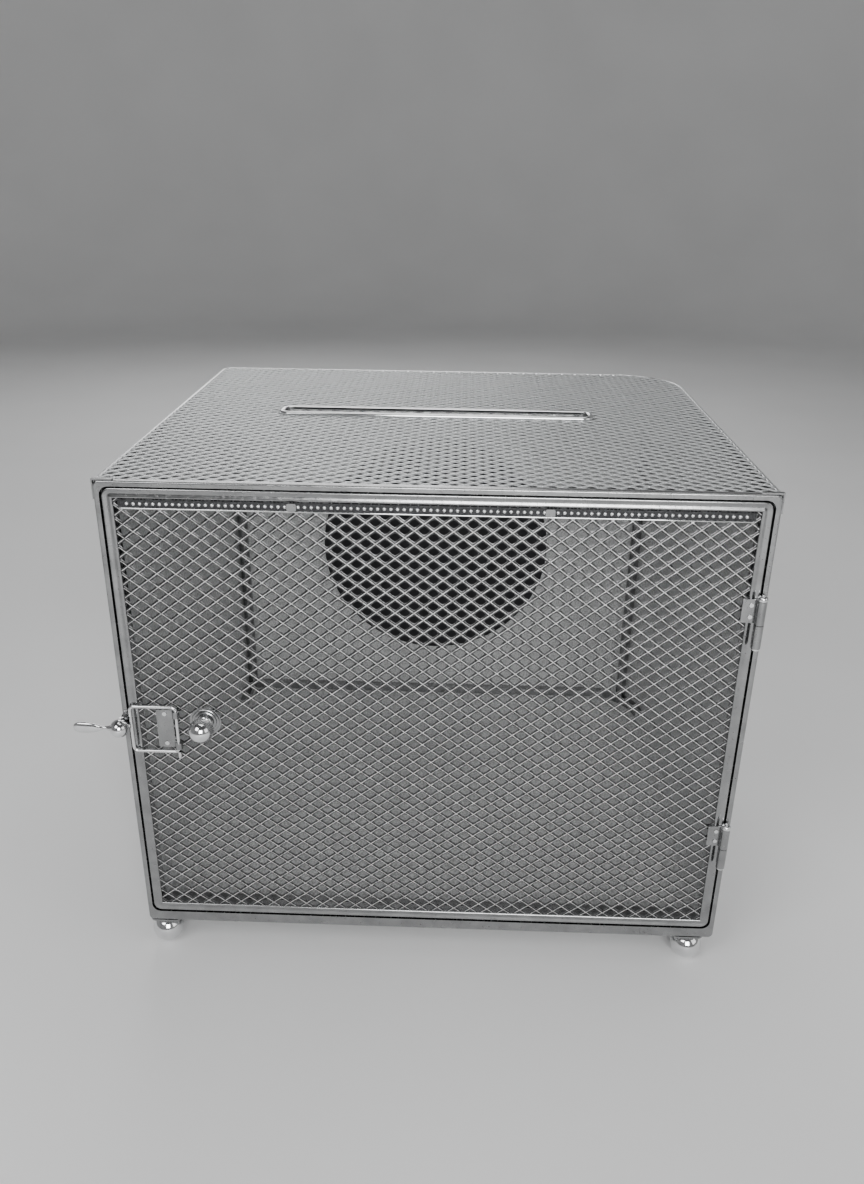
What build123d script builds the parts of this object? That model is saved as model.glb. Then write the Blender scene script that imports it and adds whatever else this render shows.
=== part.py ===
"""Wedding card box: a mesh cabinet with a hinged mesh door, a card slot and ball feet.

Millimetres. +Z is up and the door faces -Y. The origin is the centre of the
footprint of the whole box, on the surface that the feet stand on.
"""

from build123d import *
import os
from math import cos, radians

os.makedirs("parts", exist_ok=True)

# ---------------------------------------------------------------- driving sizes
width = 350.0
depth = 300.0
height = 286.0
rear_left_radius = 8.0
rear_right_radius = 45.0

mesh_thickness = 1.5
liner_thickness = 0.8
seat_gap = 0.1  # between pieces that are held against each other
free_gap = 0.3  # between pieces that move past each other
running_gap = 0.05  # radial, a pin in its knuckle
cut_margin = 1.0  # how far a cut runs past the faces that it opens
small_round = 1.0

frame_bar = 3.0
frame_depth = 3.2
frame_sill = 7.0
frame_corner_radius = 3.0
frame_edge_round = 1.0
corner_cap_leg = 11.0
corner_cap_thickness = 0.8

door_gap = 0.6
door_bar = 6.0
door_depth = 6.0
door_corner_radius = 5.0
door_edge_round = 1.2
door_mesh_setback = 0.8
door_mesh_lap = 1.5

stop_bar = 6.0
stop_depth = 4.0
rail_size = 6.0
post_diameter = 8.0

slot_length = 196.0
slot_width = 12.0
slot_rim = 4.0
slot_rim_height = 2.0
slot_corner_radius = 4.0
slot_offset = -4.0  # from the cabinet's centre line
slot_setback = 157.0  # from the front face

disc_radius = 93.5
disc_thickness = 2.0
disc_offset = -7.0  # from the cabinet's centre line
disc_height = 139.0  # above the cabinet's bottom
disc_rim_lap = 3.5  # over the disc
disc_rim_reach = 5.5  # past the disc
disc_rim_thickness = 1.5
disc_rivet_count = 8
disc_rivet_diameter = 3.0

bead_diameter = 2.0
bead_pitch = 3.4
bead_taper = 20.0
bead_strip_height = 4.2
bead_strip_thickness = 0.5
bead_wire_diameter = 1.1
tab_width = 5.0
tab_thickness = 0.5
tab_spacing = 132.0

hinge_spacing = 145.0
knuckle_diameter = 5.0
knuckle_length = 13.5
hinge_pin_diameter = 2.4
hinge_cap_diameter = 5.4
hinge_cap_height = 2.6
hinge_foot_diameter = 4.2
hinge_foot_height = 1.3
leaf_length = 7.0
leaf_thickness = 1.0
leaf_rivet_diameter = 2.4
leaf_rivet_inset = 4.5  # from the door's edge

latch_height = 140.0  # above the cabinet's bottom
latch_wire = 2.0
latch_leg_inset = 5.0  # the loop's outer leg, from the cabinet's left face
latch_loop_width = 26.0
latch_loop_height = 29.0
latch_loop_corner = 2.6
latch_pin_end = 4.0  # below the loop's corner
latch_eye_diameter = 4.2
latch_eye_length = 4.0
latch_plate_width = 9.4
latch_plate_height = 24.4
latch_plate_thickness = 1.0
latch_tongue_root = 1.0
latch_rivet_diameter = 2.6
hasp_ball_diameter = 10.5
hasp_ball_reach = 5.6  # from the loop's outer leg, along the door
hasp_ball_rise = 2.5  # above the loop's centre
paddle_length = 21.0
paddle_width = 9.6
paddle_thickness = 4.4
paddle_neck = 2.6
paddle_tip_length = 6.7
paddle_root = 2.0
flare_diameter = 9.2
flare_length = 9.4
flare_taper = 24.0
catch_thickness = 1.2
catch_depth = 12.0

knob_diameter = 14.0
knob_neck_diameter = 5.0
knob_neck_length = 3.0
knob_offset = 16.0  # from the latch's barrel
knob_rise = 5.0  # above the latch
rosette_diameter = 18.0
rosette_thickness = 1.2
knob_stud_diameter = 4.0
knob_stud_end = 1.0  # past its nut
knob_nut_width = 7.0
knob_nut_height = 3.0

foot_diameter = 19.0
foot_neck_diameter = 8.0
foot_neck_length = 2.8
ball_sink = 0.5  # how far a neck runs into its ball
foot_pad = 0.4  # taken off the ball's bottom, so that it stands flat
foot_plate_size = 20.0
foot_plate_thickness = 1.2
foot_plate_shift = 2.0  # towards the middle of the cabinet
foot_stud_diameter = 4.0
left_foot_inset = 8.0
right_foot_inset = 13.0
front_foot_inset = 10.0
rear_foot_inset = 13.0

# ---------------------------------------------------------------- derived datums
wall = mesh_thickness + seat_gap + liner_thickness
barrel_setback = knuckle_diameter / 2 + free_gap
mesh_front = door_mesh_setback
latch_axis_back = latch_eye_diameter / 2 - mesh_front  # in front of the door's face
ball_front = hasp_ball_diameter / 2 + free_gap
knob_centre_front = (
    rosette_thickness - mesh_front + knob_neck_length + knob_diameter / 2 - ball_sink
)
front_reach = knob_centre_front + knob_diameter / 2
rear_reach = disc_rim_thickness + seat_gap
latch_barrel_inset = latch_leg_inset + latch_loop_width
left_reach = hasp_ball_reach - latch_leg_inset + hasp_ball_diameter / 2 + paddle_length

cabinet_x = (left_reach - corner_cap_thickness) / 2
left_x = cabinet_x - width / 2
right_x = cabinet_x + width / 2
front_y = -(depth + rear_reach - front_reach) / 2
back_y = front_y + depth
base_z = foot_diameter + foot_neck_length + foot_plate_thickness - foot_pad - ball_sink
top_z = base_z + height
roof_z = top_z - mesh_thickness - seat_gap
floor_top = base_z + wall

door_left = left_x + frame_bar + door_gap
door_right = right_x - frame_bar - door_gap
door_bottom = base_z + frame_sill + door_gap
door_top = top_z - frame_bar - door_gap
door_width = door_right - door_left
door_height = door_top - door_bottom
door_x = (door_left + door_right) / 2
door_z = (door_bottom + door_top) / 2

stop_front = front_y + door_depth + door_gap
rail_front = stop_front + stop_depth
pin_x = door_right + door_gap / 2
pin_y = front_y - barrel_setback
barrel_x = left_x + latch_barrel_inset
barrel_y = front_y - latch_axis_back
outer_leg_x = barrel_x - latch_loop_width
latch_z = base_z + latch_height
ball_x = outer_leg_x - hasp_ball_reach
ball_y = front_y - ball_front
ball_z = latch_z + hasp_ball_rise
knob_x = barrel_x + knob_offset
knob_y = front_y - knob_centre_front
knob_z = latch_z + knob_rise
disc_x = cabinet_x + disc_offset
disc_z = base_z + disc_height
slot_x = cabinet_x + slot_offset
slot_y = front_y + slot_setback


def plan(z):
    """A horizontal plane at height z, drawn in the box's own X and Y."""
    return Plane.XY.offset(z)


def elevation(y):
    """An upright plane at y that faces the front: local X is X and local Y is Z."""
    return Plane(origin=(0, y, 0), x_dir=(1, 0, 0), z_dir=(0, -1, 0))


def profile(x):
    """An upright plane at x that faces right: local X is Y and local Y is Z."""
    return Plane(origin=(x, 0, 0), x_dir=(0, 1, 0), z_dir=(1, 0, 0))


def cabinet_outline(inset, start):
    """The cabinet's plan, inset from its outer faces and starting at y = start."""
    corners = (
        (left_x + inset, start),
        (right_x - inset, start),
        (right_x - inset, back_y - inset),
        (left_x + inset, back_y - inset),
    )
    rounds = (0, 0, max(rear_right_radius - inset, 0), max(rear_left_radius - inset, 0))
    with BuildSketch() as outline:
        with BuildLine():
            FilletPolyline(*corners, radius=rounds, close=True)
        make_face()
    return outline.sketch


def wall_band(outer, thickness, start):
    """A band that follows the side and rear walls, from y = start to the back."""
    with BuildSketch() as band:
        add(cabinet_outline(outer, front_y))
        add(cabinet_outline(outer + thickness, front_y - thickness), mode=Mode.SUBTRACT)
        with Locations((cabinet_x, (front_y + start) / 2)):
            Rectangle(width + thickness, start - front_y, mode=Mode.SUBTRACT)
    return band.sketch


# ---------------------------------------------------------------- cabinet frame
with BuildPart() as front_frame:
    with BuildSketch(elevation(front_y + frame_depth)):
        with Locations((cabinet_x, (base_z + top_z) / 2)):
            RectangleRounded(width, height, frame_corner_radius)
        with Locations((cabinet_x, (door_bottom + door_top) / 2)):
            RectangleRounded(
                door_width + 2 * door_gap, door_height + 2 * door_gap, door_corner_radius,
                mode=Mode.SUBTRACT
            )
    extrude(amount=frame_depth)
    outer_edges = front_frame.faces().sort_by(Axis.Y)[0].outer_wire().edges()
    fillet(outer_edges, frame_edge_round)
front_frame.part.label = "front_frame"
export_step(front_frame.part, "parts/front_frame.step")

with BuildPart() as corner_caps:
    for side in (-1, 1):
        corner_x = cabinet_x + side * width / 2
        with BuildSketch(elevation(front_y + frame_depth)):
            with Locations((corner_x - side * (corner_cap_leg / 2 - corner_cap_thickness), top_z)):
                Rectangle(corner_cap_leg, 2 * corner_cap_thickness)
            with Locations((corner_x, top_z - corner_cap_leg / 2 + corner_cap_thickness)):
                Rectangle(2 * corner_cap_thickness, corner_cap_leg)
            with Locations((cabinet_x, (base_z + top_z) / 2)):
                Rectangle(width, height, mode=Mode.SUBTRACT)
        extrude(amount=frame_depth - frame_edge_round)
corner_caps.part.label = "corner_caps"
export_step(corner_caps.part, "parts/corner_caps.step")

with BuildPart() as stop_frame:
    stop_width = width - 2 * (wall + seat_gap)
    stop_bottom = floor_top + seat_gap
    stop_sill = door_bottom + door_bar - stop_bottom
    with BuildSketch(elevation(rail_front)):
        with Locations((cabinet_x, (stop_bottom + roof_z) / 2)):
            Rectangle(stop_width, roof_z - stop_bottom)
        with Locations((cabinet_x, (stop_bottom + stop_sill + roof_z - stop_bar) / 2)):
            Rectangle(
                stop_width - 2 * stop_bar,
                roof_z - stop_bar - stop_bottom - stop_sill,
                mode=Mode.SUBTRACT,
            )
    extrude(amount=stop_depth)
stop_frame.part.label = "stop_frame"
export_step(stop_frame.part, "parts/stop_frame.step")

rail_levels = {"bottom": floor_top + seat_gap, "top": roof_z - rail_size}
split_y = back_y - rear_right_radius
for level, rail_z in rail_levels.items():
    straight = split_y - rail_front
    for side_name, side in (("left", -1), ("right", 1)):
        with BuildPart() as side_rail:
            rail_x = cabinet_x + side * (width / 2 - wall - seat_gap - rail_size / 2)
            with BuildSketch(plan(rail_z)):
                with Locations((rail_x, rail_front + straight / 2)):
                    Rectangle(rail_size, straight)
            extrude(amount=rail_size)
        side_rail.part.label = f"{side_name}_{level}_rail"
        export_step(side_rail.part, f"parts/{side_name}_{level}_rail.step")
    with BuildPart() as rear_rail:
        with BuildSketch(plan(rail_z)):
            add(wall_band(wall + seat_gap, rail_size, split_y))
        extrude(amount=rail_size)
    rear_rail.part.label = f"rear_{level}_rail"
    export_step(rear_rail.part, f"parts/rear_{level}_rail.step")

post_bottom = rail_levels["bottom"] + rail_size
post_height = rail_levels["top"] - post_bottom
post_inset = wall + 2 * seat_gap + post_diameter / 2
for side_name, side, corner in (("left", -1, rear_left_radius), ("right", 1, rear_right_radius)):
    with BuildPart() as rear_post:
        reach = max(corner - post_inset, 0) * cos(radians(45))
        arc_x = cabinet_x + side * (width / 2 - corner)
        arc_y = back_y - corner
        with BuildSketch(plan(post_bottom)):
            with Locations((arc_x + side * reach, arc_y + reach)):
                Circle(post_diameter / 2)
        extrude(amount=post_height)
    rear_post.part.label = f"rear_{side_name}_post"
    export_step(rear_post.part, f"parts/rear_{side_name}_post.step")

# ---------------------------------------------------------------- walls, floor and top
wall_start = front_y + frame_depth + seat_gap
wall_height = roof_z - base_z
skins = {"mesh": (0, mesh_thickness), "liner": (mesh_thickness + seat_gap, liner_thickness)}
for skin, (outer, thickness) in skins.items():
    for side_name, side in (("left", -1), ("right", 1)):
        with BuildPart() as side_wall:
            skin_x = cabinet_x + side * (width / 2 - outer - thickness / 2)
            with BuildSketch(plan(base_z)):
                with Locations((skin_x, (wall_start + split_y) / 2)):
                    Rectangle(thickness, split_y - wall_start)
            extrude(amount=wall_height)
        side_wall.part.label = f"{side_name}_{skin}"
        export_step(side_wall.part, f"parts/{side_name}_{skin}.step")
    with BuildPart() as back_wall:
        with BuildSketch(plan(base_z)):
            add(wall_band(outer, thickness, split_y))
        extrude(amount=wall_height)
        with BuildSketch(elevation(back_y + cut_margin)):
            with Locations((disc_x, disc_z)):
                Circle(disc_radius + seat_gap)
        extrude(amount=wall + 2 * cut_margin, mode=Mode.SUBTRACT)
    back_wall.part.label = f"back_{skin}"
    export_step(back_wall.part, f"parts/back_{skin}.step")

with BuildPart() as top_mesh:
    with BuildSketch(plan(top_z - mesh_thickness)):
        add(cabinet_outline(0, wall_start))
        with Locations((slot_x, slot_y)):
            RectangleRounded(
                slot_length + slot_rim + 2 * seat_gap,
                slot_width + slot_rim + 2 * seat_gap,
                slot_corner_radius + slot_rim / 2 + seat_gap,
                mode=Mode.SUBTRACT,
            )
    extrude(amount=mesh_thickness)
top_mesh.part.label = "top_mesh"
export_step(top_mesh.part, "parts/top_mesh.step")

with BuildPart() as slot_trim:
    with BuildSketch(plan(top_z - 2 * mesh_thickness)):
        with Locations((slot_x, slot_y)):
            RectangleRounded(
                slot_length + slot_rim, slot_width + slot_rim, slot_corner_radius + slot_rim / 2
            )
    extrude(amount=2 * mesh_thickness + slot_rim_height / 2)
    with BuildSketch(plan(top_z + seat_gap)):
        with Locations((slot_x, slot_y)):
            RectangleRounded(
                slot_length + 2 * slot_rim, slot_width + 2 * slot_rim, slot_corner_radius + slot_rim
            )
    extrude(amount=slot_rim_height)
    fillet(slot_trim.faces().sort_by(Axis.Z)[-1].outer_wire().edges(), slot_rim_height / 2)
    with BuildSketch(plan(top_z - 2 * mesh_thickness)):
        with Locations((slot_x, slot_y)):
            RectangleRounded(slot_length, slot_width, slot_corner_radius)
    extrude(amount=2 * mesh_thickness + 2 * slot_rim_height, mode=Mode.SUBTRACT)
slot_trim.part.label = "slot_trim"
export_step(slot_trim.part, "parts/slot_trim.step")

with BuildPart() as floor_mesh:
    with BuildSketch(plan(base_z)):
        add(cabinet_outline(wall + seat_gap, wall_start))
    extrude(amount=mesh_thickness)
floor_mesh.part.label = "floor_mesh"
export_step(floor_mesh.part, "parts/floor_mesh.step")

with BuildPart() as floor_plate:
    with BuildSketch(plan(base_z + mesh_thickness + seat_gap)):
        add(cabinet_outline(wall + seat_gap, wall_start))
    extrude(amount=liner_thickness)
floor_plate.part.label = "floor_plate"
export_step(floor_plate.part, "parts/floor_plate.step")

# ---------------------------------------------------------------- round disc in the back wall
with BuildPart() as back_disc:
    with BuildSketch(elevation(back_y)):
        with Locations((disc_x, disc_z)):
            Circle(disc_radius)
    extrude(amount=disc_thickness)
back_disc.part.label = "back_disc"
export_step(back_disc.part, "parts/back_disc.step")

rivet_ring_radius = disc_radius + disc_rim_reach / 2
with BuildPart() as disc_rim:
    with BuildSketch(elevation(back_y + rear_reach)):
        with Locations((disc_x, disc_z)):
            Circle(disc_radius + disc_rim_reach)
            Circle(disc_radius - disc_rim_lap, mode=Mode.SUBTRACT)
            with PolarLocations(rivet_ring_radius, disc_rivet_count):
                Circle(disc_rivet_diameter / 2 + seat_gap, mode=Mode.SUBTRACT)
    extrude(amount=disc_rim_thickness)
disc_rim.part.label = "disc_rim"
export_step(disc_rim.part, "parts/disc_rim.step")

with BuildPart() as disc_rivets:
    with BuildSketch(elevation(back_y + rear_reach)):
        with Locations((disc_x, disc_z)):
            with PolarLocations(rivet_ring_radius, disc_rivet_count):
                Circle(disc_rivet_diameter / 2)
    extrude(amount=disc_rim_thickness)
disc_rivets.part.label = "disc_rivets"
export_step(disc_rivets.part, "parts/disc_rivets.step")

# ---------------------------------------------------------------- feet
foot_x = {"left": left_x + left_foot_inset, "right": right_x - right_foot_inset}
foot_y = {"front": front_y + front_foot_inset, "rear": back_y - rear_foot_inset}
plate_z = base_z - foot_plate_thickness
ball_centre_z = foot_diameter / 2 - foot_pad
foot_places = [(row, side) for row in foot_y for side in foot_x]
rear_right_shift = (rear_right_radius - rear_foot_inset) * (1 - cos(radians(45)))


def foot_place(row, side):
    """Where a foot stands. The rear right one sits further in, under the large round."""
    shift = rear_right_shift if (row, side) == ("rear", "right") else 0
    return foot_x[side] - shift, foot_y[row] - shift


for row, side in foot_places:
    spot_x, spot_y = foot_place(row, side)
    with BuildPart() as foot:
        with Locations((spot_x, spot_y, ball_centre_z)):
            Sphere(foot_diameter / 2)
        with BuildSketch(plan(ball_centre_z)):
            with Locations((spot_x, spot_y)):
                Circle(foot_neck_diameter / 2)
        extrude(amount=plate_z - ball_centre_z)
        with BuildSketch(plan(plate_z)):
            with Locations((spot_x, spot_y)):
                Circle(foot_stud_diameter / 2)
        extrude(amount=foot_plate_thickness)
        with BuildSketch(plan(0)):
            with Locations((spot_x, spot_y)):
                Circle(foot_diameter)
        extrude(amount=-foot_pad * 2, mode=Mode.SUBTRACT)
    foot.part.label = f"{row}_{side}_foot"
    export_step(foot.part, f"parts/{row}_{side}_foot.step")

with BuildPart() as foot_plates:
    for row, side in foot_places:
        spot_x, spot_y = foot_place(row, side)
        with BuildSketch(plan(plate_z)):
            with Locations((spot_x + (foot_plate_shift if side == "left" else -foot_plate_shift), spot_y)):
                RectangleRounded(foot_plate_size, foot_plate_size, foot_plate_size / 5)
            with Locations((spot_x, spot_y)):
                Circle(foot_stud_diameter / 2 + seat_gap, mode=Mode.SUBTRACT)
        extrude(amount=foot_plate_thickness)
foot_plates.part.label = "foot_plates"
export_step(foot_plates.part, "parts/foot_plates.step")

# ---------------------------------------------------------------- door
with BuildPart() as door_frame:
    with BuildSketch(elevation(front_y + door_depth)):
        with Locations((door_x, door_z)):
            RectangleRounded(door_width, door_height, door_corner_radius)
            RectangleRounded(
                door_width - 2 * door_bar, door_height - 2 * door_bar, door_corner_radius / 2,
                mode=Mode.SUBTRACT
            )
    extrude(amount=door_depth)
    fillet(door_frame.faces().sort_by(Axis.Y)[0].edges(), door_edge_round)
    groove_y = front_y + mesh_front + mesh_thickness + seat_gap
    with BuildSketch(elevation(groove_y)):
        with Locations((door_x, door_z)):
            Rectangle(
                door_width - 2 * (door_bar - door_mesh_lap - seat_gap),
                door_height - 2 * (door_bar - door_mesh_lap - seat_gap)
            )
    extrude(amount=mesh_thickness + 2 * seat_gap, mode=Mode.SUBTRACT)
door_frame.part.label = "door_frame"
export_step(door_frame.part, "parts/door_frame.step")

with BuildPart() as door_mesh:
    with BuildSketch(elevation(front_y + mesh_front + mesh_thickness)):
        with Locations((door_x, door_z)):
            Rectangle(
                door_width - 2 * (door_bar - door_mesh_lap),
                door_height - 2 * (door_bar - door_mesh_lap)
            )
        with Locations((knob_x, knob_z)):
            Circle(knob_stud_diameter / 2 + seat_gap, mode=Mode.SUBTRACT)
    extrude(amount=mesh_thickness)
door_mesh.part.label = "door_mesh"
export_step(door_mesh.part, "parts/door_mesh.step")

opening_width = door_width - 2 * door_bar - door_corner_radius
bead_z = door_top - door_bar - seat_gap - bead_strip_height / 2
bead_count = int(opening_width / bead_pitch) - 1
with BuildPart() as bead_strip:
    strip_front = front_y + mesh_front - seat_gap - bead_strip_thickness
    with BuildSketch(elevation(strip_front + bead_strip_thickness)):
        with Locations((door_x, bead_z)):
            Rectangle(opening_width, bead_strip_height)
    extrude(amount=bead_strip_thickness)
    with BuildSketch(elevation(strip_front)):
        with Locations((door_x, bead_z)):
            with GridLocations(bead_pitch, 1, bead_count, 1):
                Circle(bead_diameter / 2)
    extrude(amount=bead_diameter / 2, taper=bead_taper)
bead_strip.part.label = "bead_strip"
export_step(bead_strip.part, "parts/bead_strip.step")

with BuildPart() as bead_wire:
    wire_z = bead_z - bead_strip_height / 2 - seat_gap - bead_wire_diameter / 2
    with BuildSketch(profile(door_x - opening_width / 2)):
        with Locations((front_y + mesh_front - seat_gap - bead_wire_diameter / 2, wire_z)):
            Circle(bead_wire_diameter / 2)
    extrude(amount=opening_width)
bead_wire.part.label = "bead_wire"
export_step(bead_wire.part, "parts/bead_wire.step")

with BuildPart() as mesh_tabs:
    tab_front = strip_front - bead_diameter / 2 - seat_gap
    with BuildSketch(elevation(tab_front)):
        with Locations((door_x + disc_offset, bead_z)):
            with GridLocations(tab_spacing, 1, 2, 1):
                RectangleRounded(tab_width, bead_strip_height, small_round)
    extrude(amount=tab_thickness)
mesh_tabs.part.label = "mesh_tabs"
export_step(mesh_tabs.part, "parts/mesh_tabs.step")

# ---------------------------------------------------------------- hinges
hinge_heights = {
    "lower": base_z + (height - hinge_spacing) / 2,
    "upper": base_z + (height + hinge_spacing) / 2,
}
bore = hinge_pin_diameter / 2 + running_gap
leaf_end = pin_x - knuckle_diameter / 2 - leaf_length
rivet_x = door_right - leaf_rivet_inset
rivet_rise = knuckle_length / 4
for level, hinge_z in hinge_heights.items():
    door_knuckle_z = hinge_z + free_gap / 2
    frame_knuckle_z = hinge_z - free_gap / 2 - knuckle_length
    with BuildPart() as door_leaf:
        with BuildSketch(plan(door_knuckle_z)):
            with Locations((pin_x, pin_y)):
                Circle(knuckle_diameter / 2)
            with Locations(((leaf_end + door_right) / 2, front_y - leaf_thickness / 2)):
                Rectangle(door_right - leaf_end, leaf_thickness)
            with Locations((pin_x, pin_y)):
                Circle(bore, mode=Mode.SUBTRACT)
        extrude(amount=knuckle_length)
        with BuildSketch(elevation(front_y)):
            with Locations((rivet_x, door_knuckle_z + knuckle_length / 2)):
                with GridLocations(1, 2 * rivet_rise, 1, 2):
                    Circle(leaf_rivet_diameter / 2 + seat_gap)
        extrude(amount=leaf_thickness, mode=Mode.SUBTRACT)
    door_leaf.part.label = f"{level}_door_leaf"
    export_step(door_leaf.part, f"parts/{level}_door_leaf.step")

    with BuildPart() as frame_leaf:
        with BuildSketch(plan(frame_knuckle_z)):
            with Locations((pin_x, pin_y)):
                Circle(knuckle_diameter / 2)
            with Locations(((pin_x + door_gap / 2 + right_x) / 2, front_y - leaf_thickness / 2)):
                Rectangle(right_x - pin_x - door_gap / 2, leaf_thickness)
            with Locations((pin_x, pin_y)):
                Circle(bore, mode=Mode.SUBTRACT)
        extrude(amount=knuckle_length)
    frame_leaf.part.label = f"{level}_frame_leaf"
    export_step(frame_leaf.part, f"parts/{level}_frame_leaf.step")

    with BuildPart() as hinge_pin:
        pin_bottom = frame_knuckle_z - seat_gap
        cap_z = door_knuckle_z + knuckle_length + free_gap
        with BuildSketch(plan(pin_bottom)):
            with Locations((pin_x, pin_y)):
                Circle(hinge_pin_diameter / 2)
        extrude(amount=cap_z - pin_bottom)
        ends = (
            (cap_z, hinge_cap_diameter, hinge_cap_height),
            (pin_bottom, hinge_foot_diameter, -hinge_foot_height),
        )
        for end_z, end_diameter, rise in ends:
            with BuildSketch(plan(end_z)):
                with Locations((pin_x, pin_y)):
                    Circle(end_diameter / 2)
            extrude(amount=rise)
        fillet(hinge_pin.edges().sort_by(Axis.Z)[-1], hinge_cap_height / 2)
    hinge_pin.part.label = f"{level}_hinge_pin"
    export_step(hinge_pin.part, f"parts/{level}_hinge_pin.step")

with BuildPart() as hinge_rivets:
    for hinge_z in hinge_heights.values():
        with BuildSketch(elevation(front_y)):
            with Locations((rivet_x, hinge_z + free_gap / 2 + knuckle_length / 2)):
                with GridLocations(1, 2 * rivet_rise, 1, 2):
                    Circle(leaf_rivet_diameter / 2)
        extrude(amount=leaf_thickness + free_gap)
hinge_rivets.part.label = "hinge_rivets"
export_step(hinge_rivets.part, "parts/hinge_rivets.step")

# ---------------------------------------------------------------- latch: plate on the door
plate_right = barrel_x - latch_eye_diameter / 2 - seat_gap
plate_x = plate_right - latch_plate_width / 2
plate_back = front_y + mesh_front
eye_rise = (latch_plate_height - latch_eye_length) / 2
latch_rivet_rise = latch_plate_height / 2 - latch_rivet_diameter
with BuildPart() as latch_plate:
    with BuildSketch(elevation(plate_back - seat_gap)):
        with Locations((plate_x, latch_z)):
            Rectangle(latch_plate_width, latch_plate_height)
            with GridLocations(1, 2 * latch_rivet_rise, 1, 2):
                Circle(latch_rivet_diameter / 2 + seat_gap, mode=Mode.SUBTRACT)
    extrude(amount=latch_plate_thickness)
    for rise in (-eye_rise, eye_rise):
        with BuildSketch(plan(latch_z + rise - latch_eye_length / 2)):
            with Locations((barrel_x, barrel_y - seat_gap)):
                Circle(latch_eye_diameter / 2)
            tongue_y = plate_back - seat_gap - latch_plate_thickness / 2
            with Locations(((plate_right + barrel_x) / 2, tongue_y)):
                Rectangle(barrel_x - plate_right + latch_tongue_root, latch_plate_thickness)
            with Locations((barrel_x, barrel_y - seat_gap)):
                Circle(latch_wire / 2 + running_gap, mode=Mode.SUBTRACT)
        extrude(amount=latch_eye_length)
latch_plate.part.label = "latch_plate"
export_step(latch_plate.part, "parts/latch_plate.step")

with BuildPart() as latch_rivets:
    with BuildSketch(elevation(plate_back - seat_gap)):
        with Locations((plate_x, latch_z)):
            with GridLocations(1, 2 * latch_rivet_rise, 1, 2):
                Circle(latch_rivet_diameter / 2)
    extrude(amount=latch_plate_thickness + free_gap)
latch_rivets.part.label = "latch_rivets"
export_step(latch_rivets.part, "parts/latch_rivets.step")

with BuildPart() as latch_backplate:
    with BuildSketch(elevation(plate_back + mesh_thickness + seat_gap + latch_plate_thickness)):
        with Locations((plate_x, latch_z)):
            RectangleRounded(latch_plate_width, latch_plate_height, small_round)
    extrude(amount=latch_plate_thickness)
latch_backplate.part.label = "latch_backplate"
export_step(latch_backplate.part, "parts/latch_backplate.step")

# ---------------------------------------------------------------- latch: swinging hasp
loop_y = barrel_y - seat_gap
with BuildPart() as hasp_loop:
    with BuildLine(elevation(loop_y)) as loop_path:
        FilletPolyline(
            (barrel_x, latch_z + latch_loop_height / 2),
            (outer_leg_x, latch_z + latch_loop_height / 2),
            (outer_leg_x, latch_z - latch_loop_height / 2),
            (barrel_x, latch_z - latch_loop_height / 2),
            radius=latch_loop_corner,
            close=True,
        )
    loop_wire = loop_path.wires()[0]
    with BuildSketch(Plane(origin=loop_wire @ 0, z_dir=loop_wire % 0)):
        Circle(latch_wire / 2)
    sweep(path=loop_wire, transition=Transition.ROUND)
    with BuildSketch(plan(latch_z - latch_loop_height / 2)):
        with Locations((barrel_x, loop_y)):
            Circle(latch_wire / 2)
    extrude(amount=-latch_pin_end)
hasp_loop.part.label = "hasp_loop"
export_step(hasp_loop.part, "parts/hasp_loop.step")

stub = Vector(outer_leg_x - ball_x, loop_y - ball_y, 0)
with BuildPart() as hasp_ball:
    with Locations((ball_x, ball_y, ball_z)):
        Sphere(hasp_ball_diameter / 2)
    with BuildSketch(Plane(origin=(ball_x, ball_y, ball_z), z_dir=stub)):
        Circle(latch_wire / 2)
    extrude(amount=stub.length - latch_wire / 2 - running_gap)
hasp_ball.part.label = "hasp_ball"
export_step(hasp_ball.part, "parts/hasp_ball.step")

with BuildPart() as hasp_paddle:
    neck_x = ball_x - hasp_ball_diameter / 2
    tip_x = neck_x - paddle_length
    with BuildSketch(Plane(origin=(ball_x, ball_y, ball_z), z_dir=(-1, 0, 0))):
        Circle(flare_diameter / 2)
    extrude(amount=flare_length, taper=flare_taper)
    with BuildSketch(elevation(ball_y + paddle_thickness / 2)):
        with BuildLine():
            root = (neck_x - paddle_root, ball_z + paddle_neck / 2)
            wide = (tip_x + paddle_tip_length, ball_z + paddle_width / 2)
            upper = Spline(root, wide, tangents=((-1, 0), (-1, 0)))
            ThreePointArc(
                wide, (tip_x, ball_z), (wide[0], ball_z - paddle_width / 2)
            )
            mirror(upper, about=Plane(origin=(0, ball_z, 0), z_dir=(0, 1, 0)))
            Line(root, (root[0], ball_z - paddle_neck / 2))
        make_face()
    extrude(amount=paddle_thickness)
    with Locations((ball_x, ball_y, ball_z)):
        Sphere(hasp_ball_diameter / 2 + seat_gap / 2, mode=Mode.SUBTRACT)
hasp_paddle.part.label = "hasp_paddle"
export_step(hasp_paddle.part, "parts/hasp_paddle.step")

# ---------------------------------------------------------------- latch: bracket on the cabinet
catch_arm = hasp_ball_diameter / 2 + free_gap
catch_x = left_x - seat_gap - catch_thickness
with BuildPart() as ball_catch:
    with BuildSketch(profile(catch_x)):
        with Locations((wall_start + catch_depth / 2, ball_z)):
            Rectangle(catch_depth, 2 * (catch_arm + catch_thickness))
    extrude(amount=catch_thickness)
    for side in (-1, 1):
        arm_z = ball_z + side * (catch_arm + catch_thickness / 2)
        with BuildSketch(profile(catch_x)):
            with Locations(((ball_y + wall_start) / 2, arm_z)):
                Rectangle(wall_start - ball_y, catch_thickness)
        extrude(amount=catch_thickness)
ball_catch.part.label = "ball_catch"
export_step(ball_catch.part, "parts/ball_catch.step")

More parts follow.
